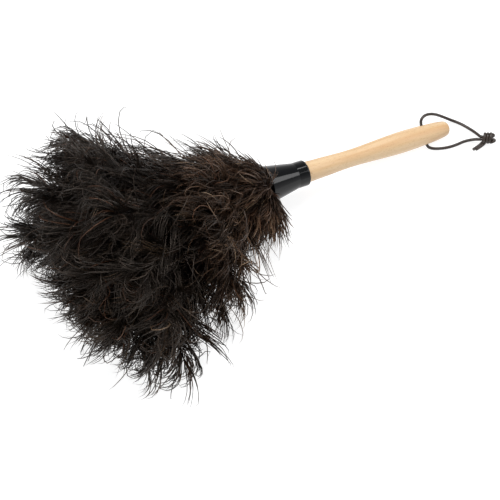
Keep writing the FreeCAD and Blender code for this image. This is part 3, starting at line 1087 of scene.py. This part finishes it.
@dataclass(frozen=True)
class Leg:
    """One leg of the hanging loop, from the middle of the cross hole to its own tail.

    Attributes:
        name: the piece's name.
        way: 1 where it leaves by the hole's upper end, and -1 by the lower one.
        straight: how far it runs straight along the hole, in metres.
        places: its further control points, from the middle of the hole, in metres.
        wraps: where its turns round the knot's core start and end, in degrees.
        length: its real length, in metres.
        nodes: the CAD nodes that it stands for.
    """

    name: str
    way: int
    straight: float
    places: tuple[tuple[float, float, float], ...]
    wraps: tuple[float, float]
    length: float
    nodes: tuple[str, ...]


@dataclass
class HangingLoop:
    """A leather cord through the cross hole, its two ends tied together in an overhand knot.

    Sizes are in metres and angles in degrees. A place in the knot is how far along it and how far
    out from its middle line it is. The tails' lift is a share of the cord's diameter.
    """

    lie: Lie
    diameter: float = 3.3 * MM
    mouth_depth: float = 10.9 * MM
    legs: tuple[Leg, ...] = (
        Leg(
            "cord_upper", 1, 0.0130,
            (
                (0.0045, 0.0142, 0.0116),
                (0.0120, 0.0166, 0.0112),
                (0.0220, 0.0168, 0.0068),
                (0.0320, 0.0162, -0.0012),
                (0.0420, 0.0124, -0.0084),
                (0.0510, 0.0030, -0.0101),
                (0.0560, -0.0090, -0.0095),
                (0.0580, -0.0190, -0.0075),
            ),
            (0.0, 570.0), 0.185, ("hang_cord_upper", "loop_knot"),
        ),
        Leg(
            "cord_lower", -1, 0.0125,
            (
                (0.0032, -0.0136, -0.0101),
                (0.0105, -0.0176, -0.0101),
                (0.0205, -0.0206, -0.0101),
                (0.0310, -0.0216, -0.0101),
                (0.0410, -0.0210, -0.0101),
                (0.0500, -0.0240, -0.0085),
            ),
            (180.0, 570.0), 0.137, ("hang_cord_lower",),
        ),
    )
    knot_centre: tuple[float, float, float] = (0.0633, -0.0315, -0.0050)
    knot_heading: float = -25.5
    core: tuple[tuple[float, float], ...] = ((-7.0 * MM, 1.7 * MM), (0.0, 1.7 * MM), (6.0 * MM, 1.7 * MM))
    turn_back: tuple[tuple[float, float], ...] = ((8.4 * MM, 3.4 * MM), (7.0 * MM, 4.9 * MM))
    wrap_start: float = 5.0 * MM
    wrap_radius: float = 4.9 * MM
    wrap_pitch: float = 6.4 * MM
    wrap_step: float = 30.0
    tail_heading: float = 190.0
    tail_length: float = 9 * MM
    tail_shares: tuple[float, float] = (0.45, 1.0)
    tail_lift: float = 0.56

    def knot_points(self, first_turn: float, last_turn: float) -> list[np.ndarray]:
        """The line of one leg through the knot: in along its core, back round it and out as a tail.

        Args:
            first_turn: where its wraps start round the core, in degrees.
            last_turn: where they end.
        Returns:
            Points in the row frame, in metres.
        """
        heading = math.radians(self.knot_heading)
        ahead = np.array([math.cos(heading), math.sin(heading), 0.0])
        left = np.array([-math.sin(heading), math.cos(heading), 0.0])
        rise = np.array([0.0, 0.0, 1.0])
        centre = self.lie.hole + np.array(self.knot_centre)

        def at(along: float, radius: float, turn: float) -> np.ndarray:
            """A point in the knot, at a turn round its middle line."""
            angle = math.radians(turn)
            return centre + ahead * along + radius * (left * math.cos(angle) + rise * math.sin(angle))

        points = [at(along, radius, first_turn) for along, radius in self.core + self.turn_back]
        for turn in np.arange(first_turn + self.wrap_step, last_turn + 1, self.wrap_step):
            back = self.wrap_pitch * (turn - first_turn) / 360
            points.append(at(self.wrap_start - back, self.wrap_radius, turn))
        away = math.radians(self.tail_heading)
        tail = np.array([math.cos(away), math.sin(away), 0.0])
        for share in self.tail_shares:
            end = points[-1] + tail * self.tail_length * share
            end[2] = self.diameter * self.tail_lift
            points.append(end)
        return points

    def curve(self, name: str, points: Sequence[np.ndarray]) -> bpy.types.Object:
        """A round cord along a smooth curve.

        Args:
            name: the piece's name.
            points: the curve's control points, in metres.
        Returns:
            The curve's object.
        """
        curve = bpy.data.curves.new(name, "CURVE")
        curve.dimensions = "3D"
        curve.bevel_depth = self.diameter / 2
        curve.bevel_resolution = 5
        curve.resolution_u = 10
        curve.use_fill_caps = True
        spline = curve.splines.new("NURBS")
        spline.points.add(len(points) - 1)
        for point, place in zip(spline.points, points):
            point.co = (*place, 1.0)
        spline.order_u = 3
        spline.use_endpoint_u = True
        return placed(name, curve)

    def build(self) -> list[bpy.types.Object]:
        """Returns:
            The two pieces.
        """
        finish = WaxedLeather().material()
        hole = self.lie.hole
        pieces = []
        for leg in self.legs:
            out = self.lie.hole_way * leg.way
            points = [hole, hole + out * leg.straight] + [hole + np.array(place) for place in leg.places]
            piece = self.curve(leg.name, points + self.knot_points(*leg.wraps))
            piece.data.materials.append(finish)
            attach(piece, Body.LOOP.value)
            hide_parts(*leg.nodes)
            pieces.append(piece)
        return pieces


# ---------------------------------------------------------------- handle, ferrule and bindings


def dress_nodes(lie: Lie) -> list[bpy.types.Object]:
    """Gives the CAD's own rigid pieces their finishes.

    Args:
        lie: where the duster's axis is.
    Returns:
        The dressed pieces.
    """
    twine = WaxedTwine().material()
    plan = {
        "handle": (LacqueredBeech(tilt=lie.tilt).material(), Slot.HANDLE),
        "ferrule": (MouldedAbs().material(), Slot.FERRULE),
        "inner_binding": (twine, Slot.TWINE),
        "middle_binding": (twine, Slot.TWINE),
        "outer_binding": (twine, Slot.TWINE),
    }
    pieces = []
    for name, (finish, slot) in plan.items():
        piece = frame["nodes"][name]
        piece.data.materials.clear()
        piece.data.materials.append(finish)
        pieces.append(piece)
    return pieces


# ---------------------------------------------------------------- studio


@dataclass(frozen=True)
class SoftBox:
    """A rectangular soft light that faces the duster. Angles are in degrees, sizes in metres."""

    name: str
    azimuth: float
    elevation: float
    distance: float
    size: tuple[float, float]
    power: float

    def build(self, aim: Vector) -> None:
        """Adds the light.

        Args:
            aim: the point that it faces.
        """
        light = bpy.data.lights.new(self.name, "AREA")
        light.shape = "RECTANGLE"
        light.size, light.size_y = self.size
        light.energy = self.power
        face(placed(self.name, light), aim, self.azimuth, self.elevation, self.distance)


@dataclass
class Studio:
    """A white table, soft lights and the camera."""

    aim: Vector = field(default_factory=lambda: Vector((-0.03142, -0.04452, 0.02933)))
    azimuth: float = -26.47
    elevation: float = 56.0
    distance: float = 1.1955
    lens: float = 85.0
    table_half: float = 8.0
    boxes: tuple[SoftBox, ...] = (
        SoftBox("overhead_box", 155.0, 70.0, 1.5, (1.3, 0.7), 23.0),
        SoftBox("left_box", -80.0, 42.0, 1.6, (0.8, 0.8), 9.0),
        SoftBox("right_box", 70.0, 38.0, 1.7, (0.7, 0.7), 6.0),
    )

    def build(self) -> None:
        """Adds the table, the lights, the sky and the camera."""
        scene = bpy.context.scene
        scene.view_settings.view_transform = "Standard"
        shape = bmesh.new()
        bmesh.ops.create_grid(shape, x_segments=1, y_segments=1, size=self.table_half)
        mesh = bpy.data.meshes.new("table")
        shape.to_mesh(mesh)
        shape.free()
        mesh.materials.append(LightTable().material())
        placed("table", mesh)
        for box in self.boxes:
            box.build(self.aim)
        self.add_sky()
        camera = bpy.data.cameras.new("camera")
        camera.lens = self.lens
        scene.camera = placed("camera", camera)
        face(scene.camera, self.aim, self.azimuth, self.elevation, self.distance)

    def add_sky(self) -> None:
        """Soft light from all round, pale at the horizon and dimmer overhead."""
        world = bpy.data.worlds.new("studio")
        bpy.context.scene.world = world
        world.use_nodes = True
        tree = world.node_tree
        ways = add(tree, "SeparateXYZ", {0: add(tree, "TexCoord").outputs["Generated"]})
        sky = add(tree, "ValToRGB", {"Fac": ways.outputs["Z"]},
                  [(0.0, "#f2f2f2"), (0.25, "#c9cacc"), (0.6, "#8d8f92")])
        fill(tree, tree.nodes["Background"], {"Color": sky.outputs[0], "Strength": 1.0})


def main() -> None:
    """Builds the duster's looks and the studio."""
    logging.basicConfig(level=logging.INFO, format="%(message)s")
    lie = Lie()
    Studio().build()
    loop = HangingLoop(lie).build()
    dressed = dress_nodes(lie)
    plumes = Head(lie).build()
    for piece in loop + dressed + plumes:
        log.info("%s is finished in %s", piece.name, piece.data.materials[0].name)
    faces = sum(len(piece.data.polygons) for piece in plumes)
    log.info("%d plumes, %d faces", len(plumes), faces)


if __name__ == "__main__":
    main()
